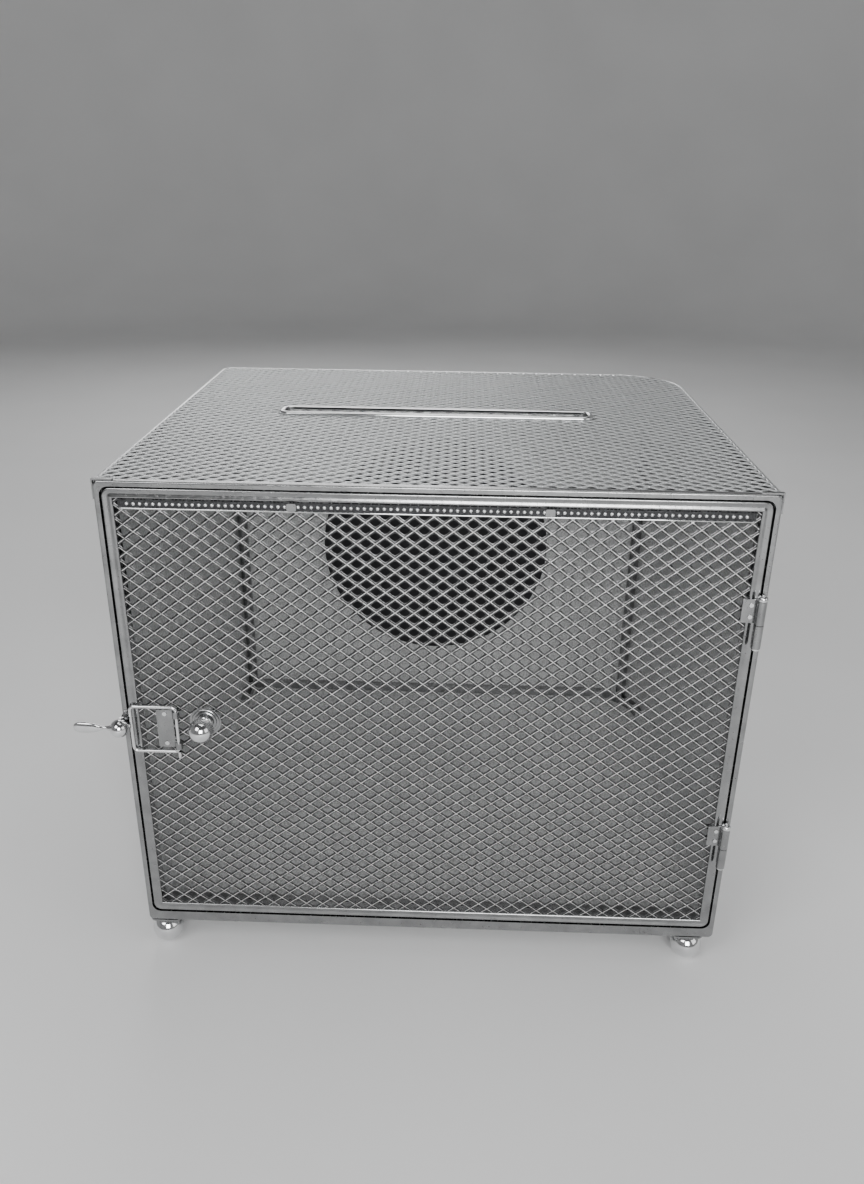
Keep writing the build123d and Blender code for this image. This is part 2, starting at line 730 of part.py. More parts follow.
# ---------------------------------------------------------------- door knob
rosette_back = plate_back - seat_gap
with BuildPart() as knob_rosette:
    with BuildSketch(elevation(rosette_back)):
        with Locations((knob_x, knob_z)):
            Circle(rosette_diameter / 2)
            Circle(knob_stud_diameter / 2 + seat_gap, mode=Mode.SUBTRACT)
    extrude(amount=rosette_thickness)
    chamfer(
        knob_rosette.faces().sort_by(Axis.Y)[0].edges().sort_by(SortBy.RADIUS)[-1],
        rosette_thickness / 2,
    )
knob_rosette.part.label = "knob_rosette"
export_step(knob_rosette.part, "parts/knob_rosette.step")

with BuildPart() as door_knob:
    with Locations((knob_x, knob_y, knob_z)):
        Sphere(knob_diameter / 2)
    with BuildSketch(elevation(rosette_back - rosette_thickness - seat_gap)):
        with Locations((knob_x, knob_z)):
            Circle(knob_neck_diameter / 2)
    extrude(until=Until.NEXT)
    stud_back = plate_back + mesh_thickness + seat_gap + knob_nut_height + knob_stud_end
    with BuildSketch(elevation(stud_back)):
        with Locations((knob_x, knob_z)):
            Circle(knob_stud_diameter / 2)
    extrude(amount=stud_back - rosette_back + rosette_thickness + seat_gap)
door_knob.part.label = "door_knob"
export_step(door_knob.part, "parts/door_knob.step")

with BuildPart() as knob_nut:
    with BuildSketch(elevation(stud_back - knob_stud_end)):
        with Locations((knob_x, knob_z)):
            RegularPolygon(knob_nut_width / 2, 6, major_radius=False)
            Circle(knob_stud_diameter / 2 + seat_gap, mode=Mode.SUBTRACT)
    extrude(amount=knob_nut_height)
knob_nut.part.label = "knob_nut"
export_step(knob_nut.part, "parts/knob_nut.step")
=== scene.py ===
"""Wedding card box: the silver mesh, the turned balls, the swinging hasp and the studio round them."""

import math

import bmesh
import bpy
import numpy as np
from mathutils import Matrix, Vector


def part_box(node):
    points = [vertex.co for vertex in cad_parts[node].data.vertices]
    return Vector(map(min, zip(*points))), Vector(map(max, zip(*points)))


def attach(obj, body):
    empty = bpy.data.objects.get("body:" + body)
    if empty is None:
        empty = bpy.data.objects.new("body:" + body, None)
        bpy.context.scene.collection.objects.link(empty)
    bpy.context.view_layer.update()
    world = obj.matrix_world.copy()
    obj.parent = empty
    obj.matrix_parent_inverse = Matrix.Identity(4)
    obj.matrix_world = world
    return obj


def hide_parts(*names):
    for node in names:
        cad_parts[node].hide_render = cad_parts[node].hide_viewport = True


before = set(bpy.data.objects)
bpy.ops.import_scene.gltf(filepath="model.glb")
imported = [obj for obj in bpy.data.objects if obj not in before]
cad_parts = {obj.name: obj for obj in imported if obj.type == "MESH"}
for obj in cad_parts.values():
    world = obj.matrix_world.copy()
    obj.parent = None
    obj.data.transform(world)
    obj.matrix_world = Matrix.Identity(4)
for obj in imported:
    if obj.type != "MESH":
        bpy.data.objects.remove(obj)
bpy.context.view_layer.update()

bl_info = {
    "name": "Wedding Card Box",
    "version": (1, 0, 0),
    "blender": (4, 5, 0),
    "location": "View3D > Sidebar > Card Box",
    "description": "Builds the finish and the fine pieces of a mesh wedding card box",
    "category": "Object",
}

MM = 0.001
REAR_LEFT_ROUND = 8 * MM
WELD_GAP = 0.002 * MM

# ---------------------------------------------------------------- places taken from the frame
shell_low, shell_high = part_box("front_frame")
SHELL_X = (shell_low.x + shell_high.x) / 2
DOOR_FACE_Y = shell_low.y


def middle(node):
    """The centre of a node's box."""
    low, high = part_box(node)
    return (low + high) / 2


def extent(node):
    """The size of a node's box along X, Y and Z."""
    low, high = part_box(node)
    return high - low


# ---------------------------------------------------------------- settings
class CardBoxMesh(bpy.types.PropertyGroup):
    """Sizes of the expanded mesh."""

    cell_width: bpy.props.FloatProperty(
        name="Cell width", description="Width of one diamond", default=10 * MM,
        min=4 * MM, unit="LENGTH",
    )
    cell_height: bpy.props.FloatProperty(
        name="Cell height", description="Height of one diamond", default=7.8 * MM,
        min=3 * MM, unit="LENGTH",
    )
    crest: bpy.props.FloatProperty(
        name="Crest", description="Share of a cell under its raised ridge", default=0.085,
        min=0.01, max=0.2, subtype="FACTOR",
    )
    crest_height: bpy.props.FloatProperty(
        name="Crest height", description="How far the ridge stands above the strand",
        default=0.42 * MM, min=0, unit="LENGTH",
    )
    hole: bpy.props.FloatProperty(
        name="Hole", description="Share of a cell that is open", default=0.67,
        min=0.3, max=0.85, subtype="FACTOR",
    )
    pinch: bpy.props.FloatProperty(
        name="Pinch", description="How round the corners of each hole are", default=0.13,
        min=0, max=0.3, subtype="FACTOR",
    )
    sag: bpy.props.FloatProperty(
        name="Sag", description="How far a ridge dips between its joints", default=0.16 * MM,
        min=0, unit="LENGTH",
    )


class CardBoxColours(bpy.types.PropertyGroup):
    """Colours of the finishes."""

    silver: bpy.props.FloatVectorProperty(
        name="Silver mesh", description="Plated expanded mesh", default=(0.1, 0.101, 0.1025),
        size=3, min=0, max=1, subtype="COLOR",
    )
    # the door's strands are the same plating as the walls and top; this brighter copy is painted light
    door_silver_lit_copy: bpy.props.FloatVectorProperty(
        name="Door mesh", description="Duller mesh of the door", default=(0.24, 0.2418, 0.2448),
        size=3, min=0, max=1, subtype="COLOR",
    )
    chrome: bpy.props.FloatVectorProperty(
        name="Chrome", description="Polished trim, balls and wire", default=(0.8, 0.804, 0.808),
        size=3, min=0, max=1, subtype="COLOR",
    )
    rail: bpy.props.FloatVectorProperty(
        name="Rails", description="Plated frame bars", default=(0.37, 0.3725, 0.375),
        size=3, min=0, max=1, subtype="COLOR",
    )
    liner: bpy.props.FloatVectorProperty(
        name="Liner", description="Grained sheet inside the walls", default=(0.86, 0.863, 0.866),
        size=3, min=0, max=1, subtype="COLOR",
    )
    # near black painted shade: the disc in the back wall, and the base of the strip behind the beads
    disc: bpy.props.FloatVectorProperty(
        name="Disc", description="Dark disc in the back wall", default=(0.02, 0.0202, 0.021),
        size=3, min=0, max=1, subtype="COLOR",
    )
    floor: bpy.props.FloatVectorProperty(
        name="Floor", description="Studio floor", default=(0.86, 0.86, 0.86),
        size=3, min=0, max=1, subtype="COLOR",
    )


class CardBoxStage(bpy.types.PropertyGroup):
    """The studio's lights and lens."""

    key_power: bpy.props.FloatProperty(
        name="Key light", description="Power of the large light at the upper left", default=7,
        min=0, unit="POWER",
    )
    fill_power: bpy.props.FloatProperty(
        name="Fill light", description="Power of the light on the right", default=2.5,
        min=0, unit="POWER",
    )
    front_power: bpy.props.FloatProperty(
        name="Front light", description="Power of the light over the viewer", default=14,
        min=0, unit="POWER",
    )
    top_power: bpy.props.FloatProperty(
        name="Top light", description="Power of the light overhead", default=5.5,
        min=0, unit="POWER",
    )
    rear_power: bpy.props.FloatProperty(
        name="Rear light", description="Power of the light behind", default=5,
        min=0, unit="POWER",
    )
    sky: bpy.props.FloatProperty(
        name="Surround", description="Strength of the even light all round", default=0.12,
        min=0, max=2, subtype="FACTOR",
    )
    lens: bpy.props.FloatProperty(
        name="Lens", description="Focal length of the camera in millimetres", default=29.81,
        min=10, max=200, unit="CAMERA",
    )


# ---------------------------------------------------------------- materials
class Finish:
    """A node material that is put together step by step."""

    def __init__(self, name, roughness, metallic=1.0):
        self.material = bpy.data.materials.new(name)
        self.material.use_nodes = True
        self.tree = self.material.node_tree
        self.shader = self.tree.nodes["Principled BSDF"]
        self.shader.inputs["Metallic"].default_value = metallic
        self.shader.inputs["Roughness"].default_value = roughness
        self.place = self.tree.nodes.new("ShaderNodeTexCoord").outputs["Object"]

    def noise(self, scale, detail=2.0, stretch=(1, 1, 1)):
        """A noise pattern with features about 1/scale metres across."""
        mapping = self.tree.nodes.new("ShaderNodeMapping")
        mapping.inputs["Scale"].default_value = stretch
        self.tree.links.new(self.place, mapping.inputs["Vector"])
        node = self.tree.nodes.new("ShaderNodeTexNoise")
        node.inputs["Scale"].default_value = scale
        node.inputs["Detail"].default_value = detail
        self.tree.links.new(mapping.outputs["Vector"], node.inputs["Vector"])
        return node.outputs["Fac"]

    def spread(self, value, low, high, start=0.3, end=0.7):
        """Spreads a pattern over a range of numbers."""
        node = self.tree.nodes.new("ShaderNodeMapRange")
        node.inputs["From Min"].default_value = start
        node.inputs["From Max"].default_value = end
        node.inputs["To Min"].default_value = low
        node.inputs["To Max"].default_value = high
        self.tree.links.new(value, node.inputs["Value"])
        return node.outputs["Result"]

    def tint(self, value, colour, dark, light):
        """Varies the colour between dark and light shares of itself."""
        ramp = self.tree.nodes.new("ShaderNodeValToRGB")
        ramp.color_ramp.elements[0].position = 0.3
        ramp.color_ramp.elements[1].position = 0.7
        ramp.color_ramp.elements[0].color = (*[c * dark for c in colour], 1)
        ramp.color_ramp.elements[1].color = (*[min(c * light, 1) for c in colour], 1)
        self.tree.links.new(value, ramp.inputs["Fac"])
        self.tree.links.new(ramp.outputs["Color"], self.shader.inputs["Base Color"])

    def rough(self, value, low, high):
        """Varies the roughness with a pattern."""
        self.tree.links.new(self.spread(value, low, high), self.shader.inputs["Roughness"])

    def bump(self, value, height, strength=1.0):
        """Raises the surface with a pattern, height in metres."""
        node = self.tree.nodes.new("ShaderNodeBump")
        node.inputs["Distance"].default_value = height
        node.inputs["Strength"].default_value = strength
        self.tree.links.new(value, node.inputs["Height"])
        self.tree.links.new(node.outputs["Normal"], self.shader.inputs["Normal"])


def strand_metal(name, silver, crest):
    """Plated strands with a fine grain; the bright ridges are a painted highlight and the dark line at
    their feet is painted shade.
    """
    finish = Finish(name, 0.34)
    ridge_light_mask = finish.tree.nodes.new("ShaderNodeAttribute")
    ridge_light_mask.attribute_name = "ridge_light_mask"
    grain = finish.noise(950, 4)
    ramp = finish.tree.nodes.new("ShaderNodeValToRGB")
    # painted light: the top of this ramp paints a highlight on the ridges by the crest factor, its
    # bottom paints a thin shade line at their feet, and the back of the strands is painted a little
    # darker
    painted_light_shades = ((0.0, 0.08), (0.22, 0.75), (0.62, 1.0), (1.0, crest))
    for position, shade in painted_light_shades[1:-1]:
        ramp.color_ramp.elements.new(position)
    for element, (position, shade) in zip(ramp.color_ramp.elements, painted_light_shades):
        element.position = position
        element.color = (*[min(c * shade, 1) for c in silver], 1)
    finish.tree.links.new(ridge_light_mask.outputs["Fac"], ramp.inputs["Fac"])
    mix = finish.tree.nodes.new("ShaderNodeMix")
    mix.data_type = "RGBA"
    mix.blend_type = "MULTIPLY"
    mix.inputs["Factor"].default_value = 1
    speckle = finish.tree.nodes.new("ShaderNodeValToRGB")
    speckle.color_ramp.elements[0].position = 0.32
    speckle.color_ramp.elements[1].position = 0.66
    speckle.color_ramp.elements[0].color = (0.42, 0.42, 0.42, 1)
    speckle.color_ramp.elements[1].color = (1, 1, 1, 1)
    finish.tree.links.new(grain, speckle.inputs["Fac"])
    finish.tree.links.new(ramp.outputs["Color"], mix.inputs[6])
    finish.tree.links.new(speckle.outputs["Color"], mix.inputs[7])
    finish.tree.links.new(mix.outputs[2], finish.shader.inputs["Base Color"])
    finish.rough(finish.noise(500, 3), 0.28, 0.46)
    finish.bump(grain, 0.07 * MM, 0.6)
    return finish.material


def silver_mesh(colours):
    """Strands of the top and the walls."""
    # 3.0 is the painted highlight on the ridges
    return strand_metal("silver_mesh", colours.silver, 3.0)


def door_mesh(colours):
    """Strands of the door: the walls' plating painted brighter, with a stronger painted highlight on
    the ridges.
    """
    return strand_metal("door_mesh", colours.door_silver_lit_copy, 4.6)


def chrome(colours):
    """Polished plating with faint wear."""
    finish = Finish("chrome", 0.08)
    finish.tint(finish.noise(120, 3), colours.chrome, 0.93, 1.05)
    finish.rough(finish.noise(420, 4), 0.05, 0.13)
    finish.bump(finish.noise(900, 2), 0.01 * MM, 0.3)
    return finish.material


def rail_metal(colours):
    """Drawn bar: softer shine and shallow dents."""
    finish = Finish("rail_metal", 0.22)
    finish.tint(finish.noise(90, 4), colours.rail, 0.86, 1.1)
    finish.rough(finish.noise(500, 4), 0.14, 0.3)
    finish.bump(finish.noise(240, 3), 0.03 * MM, 0.5)
    return finish.material


def grained_liner(colours):
    """Pale sheet with a fine hammered grain."""
    finish = Finish("grained_liner", 0.55, 0.15)
    grain = finish.noise(760, 4)
    finish.tint(grain, colours.liner, 0.58, 1.15)
    finish.rough(finish.noise(600, 3), 0.4, 0.62)
    finish.bump(grain, 0.12 * MM, 0.7)
    return finish.material


def dark_disc(colours):
    """Near black sheet with a fine grain; the near black is painted shade, standing for the dark seen
    through the middle of the back wall.
    """
    finish = Finish("dark_disc", 0.5, 0.2)
    grain = finish.noise(900, 3)
    finish.tint(grain, colours.disc, 0.6, 1.5)
    finish.rough(grain, 0.42, 0.6)
    finish.bump(grain, 0.08 * MM, 0.6)
    return finish.material


def dark_strip(colours):
    """Metal behind the beads, painted near black as the shade in the gap under the door's top rail."""
    finish = Finish("dark_strip", 0.4, 0.6)
    grain = finish.noise(1400, 2)
    finish.tint(grain, colours.disc, 2.0, 6.0)
    finish.bump(grain, 0.05 * MM, 0.5)
    return finish.material


MAKERS = {
    "silver_mesh": silver_mesh,
    "door_mesh": door_mesh,
    "chrome": chrome,
    "rail_metal": rail_metal,
    "grained_liner": grained_liner,
    "dark_disc": dark_disc,
    "dark_strip": dark_strip,
}


def finish_named(name):
    """The material of that name, made when it is first wanted."""
    found = bpy.data.materials.get(name)
    return found or MAKERS[name](bpy.context.scene.card_box_colours)


def dress(node, name):
    """Gives a kept node its finish."""
    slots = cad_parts[node].material_slots
    if not slots:
        raise RuntimeError(f"{node} has no slot for its finish")
    for slot in slots:
        slot.material = finish_named(name)


# ---------------------------------------------------------------- shapes
def piece(name, points, faces, body, material, slot, stands_for=(), sharp=35.0, solid=True):
    """Makes a mesh piece that rides on a body and stands for the named nodes."""
    mesh = bpy.data.meshes.new(name)
    mesh.from_pydata([tuple(p) for p in points], [], faces)
    if mesh.validate():
        mesh.update()
    if solid:
        shell = bmesh.new()
        shell.from_mesh(mesh)
        bmesh.ops.recalc_face_normals(shell, faces=shell.faces)
        shell.to_mesh(mesh)
        shell.free()
    mesh.polygons.foreach_set("use_smooth", [True] * len(mesh.polygons))
    mesh.set_sharp_from_angle(angle=math.radians(sharp))
    mesh.materials.append(finish_named(material))
    made = bpy.data.objects.new(name, mesh)
    bpy.context.scene.collection.objects.link(made)
    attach(made, body)
    if stands_for:
        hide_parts(*stands_for)
    return made


def joined(*shapes):
    """Several (points, faces) shapes as one."""
    points, faces = [], []
    for shape_points, shape_faces in shapes:
        start = len(points)
        points.extend(shape_points)
        faces.extend([tuple(start + i for i in face) for face in shape_faces])
    return points, faces


def axes_for(direction):
    """Two directions square to the given one."""
    forward = Vector(direction).normalized()
    side = forward.cross(Vector((0, 0, 1)))
    if side.length < 0.1:
        side = Vector((1, 0, 0))
    side.normalize()
    return side, forward.cross(side)


def turned(profile, centre, direction, segments=48):
    """A lathe shape: profile is (distance along direction, radius) from one end to the other."""
    forward = Vector(direction).normalized()
    side, up = axes_for(direction)
    points, faces, rings = [], [], []
    for along, radius in profile:
        base = Vector(centre) + forward * along
        start = len(points)
        if radius < 1e-7:
            points.append(base)
            rings.append([start] * segments)
            continue
        for i in range(segments):
            angle = math.tau * i / segments
            points.append(base + side * radius * math.cos(angle) + up * radius * math.sin(angle))
        rings.append(list(range(start, start + segments)))
    for low, high in zip(rings, rings[1:]):
        for i in range(segments):
            j = (i + 1) % segments
            loop = [low[i], high[i], high[j], low[j]]
            face = tuple(v for k, v in enumerate(loop) if v != loop[k - 1])
            if len(face) > 2:
                faces.append(face)
    return points, faces


def arc(centre_along, centre_radius, radius, start, end, steps):
    """Points of a round in a lathe profile, by angle in degrees from the direction of travel."""
    made = []
    for i in range(steps + 1):
        angle = math.radians(start + (end - start) * i / steps)
        along = centre_along + radius * math.cos(angle)
        made.append((along, max(centre_radius + radius * math.sin(angle), 0)))
    return made


def swept(path, section, closed, ups=None):
    """Sweeps a section of (across, up) points along a path of points."""
    path = [Vector(p) for p in path]
    count = len(path)
    points, faces = [], []
    for i, spot in enumerate(path):
        ahead = path[(i + 1) % count] if closed or i + 1 < count else spot
        behind = path[i - 1] if closed or i else spot
        along = (ahead - behind).normalized()
        up = Vector(ups[i] if ups else (0, 0, 1))
        across = along.cross(up).normalized()
        up = across.cross(along)
        spread = 1.0
        if closed or 0 < i < count - 1:
            bend = (ahead - spot).normalized().dot((spot - behind).normalized())
            spread = 1 / max(math.sqrt((1 + bend) / 2), 0.3)
        for a, b in section:
            points.append(spot + across * a * spread + up * b)
    size = len(section)
    for i in range(count if closed else count - 1):
        j = (i + 1) % count
        for k in range(size):
            m = (k + 1) % size
            faces.append((i * size + k, i * size + m, j * size + m, j * size + k))
    if not closed:
        faces.append(tuple(range(size - 1, -1, -1)))
        faces.append(tuple((count - 1) * size + k for k in range(size)))
    return points, faces


def round_section(radius, steps=16):
    """A circle as a section."""
    turn = [math.tau * i / steps for i in range(steps)]
    return [(radius * math.cos(a), -radius * math.sin(a)) for a in turn]


def rounded_ring(width, height, radius, steps=8):
    """A rounded rectangle as (across, up) points, counter-clockwise from the lower right."""
    ring = []
    for turn, (sx, sy) in enumerate(((1, -1), (1, 1), (-1, 1), (-1, -1))):
        for i in range(steps + 1):
            angle = math.radians(-90 + 90 * turn + 90 * i / steps)
            ring.append((
                sx * (width / 2 - radius) + radius * math.cos(angle),
                sy * (height / 2 - radius) + radius * math.sin(angle),
            ))
    return ring


# ---------------------------------------------------------------- expanded mesh
def clipped(polygon, outline):
    """The part of a convex polygon that lies inside a convex counter-clockwise outline."""
    for a, b in zip(outline, outline[1:] + outline[:1]):
        edge = (b[0] - a[0], b[1] - a[1])

        def inside(p):
            return edge[0] * (p[1] - a[1]) - edge[1] * (p[0] - a[0])

        kept = []
        for p, q in zip(polygon, polygon[1:] + polygon[:1]):
            at_p, at_q = inside(p), inside(q)
            if at_p >= 0:
                kept.append(p)
            if at_p * at_q < 0:
                share = at_p / (at_p - at_q)
                kept.append((p[0] + (q[0] - p[0]) * share, p[1] + (q[1] - p[1]) * share))
        polygon = kept
        if len(polygon) < 3:
            return []
    return polygon


def without_repeats(polygon, least):
    """The polygon without corners that nearly fall together."""
    kept = []
    for p in polygon:
        if not kept or math.dist(p, kept[-1]) > least:
            kept.append(p)
    if len(kept) > 1 and math.dist(kept[0], kept[-1]) <= least:
        kept.pop()
    return kept


def cell_points(polygon, rings):
    """The loops of one diamond: corners and the middles of its edges, ring by ring."""
    corners = np.array(polygon)
    middles = (corners + np.roll(corners, -1, axis=0)) / 2
    loop = np.empty((2 * len(corners), 2))
    loop[0::2], loop[1::2] = corners, middles
    centre = corners.mean(axis=0)
    made = []
    for share, depth, pinch, sag, ridge_light_mask in rings:
        scale = np.full(len(loop), float(share))
        scale[0::2] *= 1 - pinch
        level = np.full(len(loop), -float(depth))
        level[1::2] -= sag
        flat = centre + (loop - centre) * scale[:, None]
        made.append(np.column_stack((flat, level, np.full(len(loop), float(ridge_light_mask)))))
    return np.concatenate(made)


def cell_faces(count, rings):
    """The faces between the loops of one diamond."""
    made = []
    for ring in range(rings - 1):
        for i in range(count):
            j = (i + 1) % count
            low, high = ring * count, (ring + 1) * count
            made.append((low + i, low + j, high + j, high + i))
    return made


def expanded(length, height, cell, rings, outline=None, keep=None):
    """A sheet of diamond cells over length by height, as points (across, up, outward)."""
    dx = length / max(round(length / cell[0]), 1)
    dy = height / max(round(height / cell[1]), 1)
    half = ((dx / 2, 0), (0, dy / 2), (-dx / 2, 0), (0, -dy / 2))
    outline = outline or [(0, 0), (length, 0), (length, height), (0, height)]
    template = cell_points(half, rings)
    pattern = np.array(cell_faces(8, len(rings)))
    points, faces, total = [], [], 0
    for i in range(round(2 * length / dx) + 1):
        for j in range(i % 2, round(2 * height / dy) + 1, 2):
            centre = (i * dx / 2, j * dy / 2)
            if keep and not keep(centre):
                continue
            polygon = [(centre[0] + a, centre[1] + b) for a, b in half]
            cut = clipped(polygon, outline)
            cut = without_repeats(cut, dx / 50)
            if len(cut) < 3:
                continue
            whole = len(cut) == 4 and all(math.dist(p, q) < dx / 1000 for p, q in zip(cut, polygon))
            if whole:
                points.append(template + np.array((*centre, 0, 0)))
                faces.extend((pattern + total).tolist())
                total += len(template)
                continue
            made = cell_points(cut, rings)
            points.append(made)
            loop = 2 * len(cut)
            faces.extend([[total + v for v in face] for face in cell_faces(loop, len(rings))])
            total += len(made)
    return np.concatenate(points), faces


def welded(points, faces):
    """Joins points that fall together, and drops faces that this flattens."""
    rounded = np.round(points[:, :3] / WELD_GAP).astype(np.int64)
    _, first, where = np.unique(rounded, axis=0, return_index=True, return_inverse=True)
    where = where.ravel()
    kept = []
    for face in faces:
        loop = [int(where[v]) for v in face]
        loop = [v for k, v in enumerate(loop) if v != loop[k - 1]]
        if len(set(loop)) > 2:
            kept.append(loop)
    return points[first], kept


def laid_flat(points, origin, across, up):
    """Places sheet points on a flat wall."""
    across, up = Vector(across), Vector(up)
    out = np.array(across.cross(up))
    placed = (
        np.array(origin)
        + points[:, :1] * np.array(across)
        + points[:, 1:2] * np.array(up)
        + points[:, 2:3] * out
    )
    return np.column_stack((placed, points[:, 3]))


def mesh_rings(settings, thickness, closed):
    """Share, depth, pinch, sag and light mask of each loop: ridge, strand, hole and back; the light
    mask paints the highlight on the ridge, the shade at its foot and a slightly darker back.
    """
    crest, hole, pinch, sag = 1 - settings.crest, settings.hole, settings.pinch, settings.sag
    ridge = settings.crest_height
    # the last number of each loop is its light mask: 1 paints the ridge's highlight, 0 paints the shade
    # at its foot
    rings = [(1, 0, 0, sag, 1), (crest, 0, 0, sag, 1), (crest - 0.03, ridge, 0.01, 0, 0)]
    if closed:
        return rings + [(hole, 1.6 * ridge, pinch, 0, 0.6), (1, thickness, 0, 0, 0.4)]
    return rings + [(hole, thickness, pinch, 0, 0.6)]


class CARDBOX_OT_mesh_panels(bpy.types.Operator):
    """Lays expanded mesh on the door, the top, the walls and the floor."""

    bl_idname = "card_box.mesh_panels"
    bl_label = "Mesh Panels"

    def execute(self, context):
        settings = context.scene.card_box_mesh
        cell = (settings.cell_width, settings.cell_height)
        self.flat_panel("door_mesh", "door", settings, cell, (1, 0, 0), (0, 0, 1), True)
        self.flat_panel("left_mesh", "cabinet", settings, cell, (0, -1, 0), (0, 0, 1), False)
        self.flat_panel("right_mesh", "cabinet", settings, cell, (0, 1, 0), (0, 0, 1), False)
        length, depth = extent("floor_mesh").xy
        plan = [(a, depth - b) for a, b in reversed(plan_outline(length, depth))]
        self.flat_panel("floor_mesh", "cabinet", settings, cell, (1, 0, 0), (0, -1, 0), False, plan)
        self.top_panel(settings, cell)
        self.back_panel(settings, cell)
        return {"FINISHED"}

    def strands(self, node, points, faces, body):
        """Makes the sheet that stands for a node, and keeps its light mask for the finish's painted
        highlight and shade.
        """
        # the door gets the brighter, painted-light copy of the plating
        metal = "door_mesh" if body == "door" else "silver_mesh"
        made = piece(f"{node}_strands", points[:, :3], faces, body, metal, "silver_mesh", (node,), 24,
                     False)
        # the light mask that the strand finish turns into painted highlight and shade
        ridge_light_mask = made.data.attributes.new("ridge_light_mask", "FLOAT", "POINT")
        ridge_light_mask.data.foreach_set("value", points[:, 3])

    def flat_panel(self, node, body, settings, cell, across, up, closed, outline=None):
        """A flat sheet in place of a node, rectangular unless an outline is given."""
        low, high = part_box(node)
        size = high - low
        across, up = Vector(across), Vector(up)
        out = across.cross(up)
        thickness = abs(size.dot(out))
        corner = Vector([
            high[k] if across[k] + up[k] < 0 or out[k] > 0 else low[k] for k in range(3)
        ])
        rings = mesh_rings(settings, thickness, closed)
        points, faces = expanded(abs(size.dot(across)), abs(size.dot(up)), cell, rings, outline)
        points, faces = welded(laid_flat(points, corner, across, up), faces)
        self.strands(node, points, faces, body)

    def top_panel(self, settings, cell):
        """The top, with its rounded rear corners and the slot's cut-out."""
        low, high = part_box("top_mesh")
        length, depth = high.x - low.x, high.y - low.y
        outline = plan_outline(length, depth)
        slot = middle("slot_trim") - Vector((low.x, low.y, 0))
        reach = extent("slot_trim") / 2

        def keep(centre):
            return abs(centre[0] - slot.x) > reach.x - cell[0] / 4 or (
                abs(centre[1] - slot.y) > reach.y - cell[1] / 4
            )

        rings = mesh_rings(settings, high.z - low.z, True)
        points, faces = expanded(length, depth, cell, rings, outline, keep)
        lap = 2 * MM
        inner = (reach.x - lap, reach.y - lap)
        offset = points[:, :2] - np.array((slot.x, slot.y))
        inside = (abs(offset[:, 0]) < inner[0]) & (abs(offset[:, 1]) < inner[1])
        sideways = inner[0] - abs(offset[:, 0]) < inner[1] - abs(offset[:, 1])
        points[inside & sideways, 0] = slot.x + np.sign(offset[inside & sideways, 0]) * inner[0]
        points[inside & ~sideways, 1] = slot.y + np.sign(offset[inside & ~sideways, 1]) * inner[1]
        points, faces = welded(laid_flat(points, (low.x, low.y, high.z), (1, 0, 0), (0, 1, 0)), faces)
        self.strands("top_mesh", points, faces, "cabinet")

    def back_panel(self, settings, cell):
        """The sheet that wraps round both rear corners and the disc."""
        low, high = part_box("back_mesh")
        rounds = rear_rounds()
        depth = high.y - low.y
        thickness = extent("left_mesh").x
        flat = high.x - low.x - sum(rounds)
        legs = (
            depth - rounds[1], rounds[1] * math.pi / 2, flat, rounds[0] * math.pi / 2,
            depth - rounds[0],
        )
        bends = np.cumsum(legs)
        disc = middle("back_disc")
        radius = extent("back_disc").x / 2
        spot = (bends[1] + high.x - rounds[1] - disc.x, disc.z - low.z)

        def keep(centre):
            return math.dist(centre, spot) > radius

        rings = mesh_rings(settings, thickness, False)
        points, faces = expanded(bends[-1], high.z - low.z, cell, rings, None, keep)
        offset = points[:, :2] - np.array(spot)
        reach = np.hypot(offset[:, 0], offset[:, 1])
        short = reach < radius
        points[short, :2] = np.array(spot) + offset[short] * (radius / reach[short])[:, None]
        along, out = points[:, 0], points[:, 2]
        right_turn = np.clip((along - bends[0]) / max(rounds[1], MM), 0, math.pi / 2)
        left_turn = np.clip((along - bends[2]) / max(rounds[0], MM), 0, math.pi / 2)
        angle = right_turn + left_turn
        first = np.minimum(along, bends[0])
        level = np.clip(along - bends[1], 0, flat)
        last = np.maximum(along - bends[3], 0)
        x = high.x - rounds[1] + rounds[1] * np.cos(right_turn) - level
        x += rounds[0] * (np.cos(right_turn + left_turn) - np.cos(right_turn))
        y = low.y + first + rounds[1] * np.sin(right_turn) - last
        y += rounds[0] * (np.sin(right_turn + left_turn) - np.sin(right_turn))
        placed = np.column_stack((x + out * np.cos(angle), y + out * np.sin(angle),
                                  low.z + points[:, 1], points[:, 3]))
        points, faces = welded(placed, faces)
        self.strands("back_mesh", points, faces, "cabinet")


def rear_rounds():
    """Radii of the cabinet's rear left and rear right corners."""
    return REAR_LEFT_ROUND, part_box("back_mesh")[1].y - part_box("left_mesh")[1].y


def plan_outline(length, depth, inset=0.0, steps=12):
    """The cabinet's plan from its front left corner, counter-clockwise, with its rear rounds."""
    left, right = rear_rounds()
    outline = [(inset, inset), (length - inset, inset)]
    for radius, cx, start in ((right, length - right, 0), (left, left, 90)):
        for i in range(steps + 1):
            angle = math.radians(start + 90 * i / steps)
            outline.append((
                cx + (radius - inset) * math.cos(angle),
                depth - radius + (radius - inset) * math.sin(angle),
            ))
    return outline


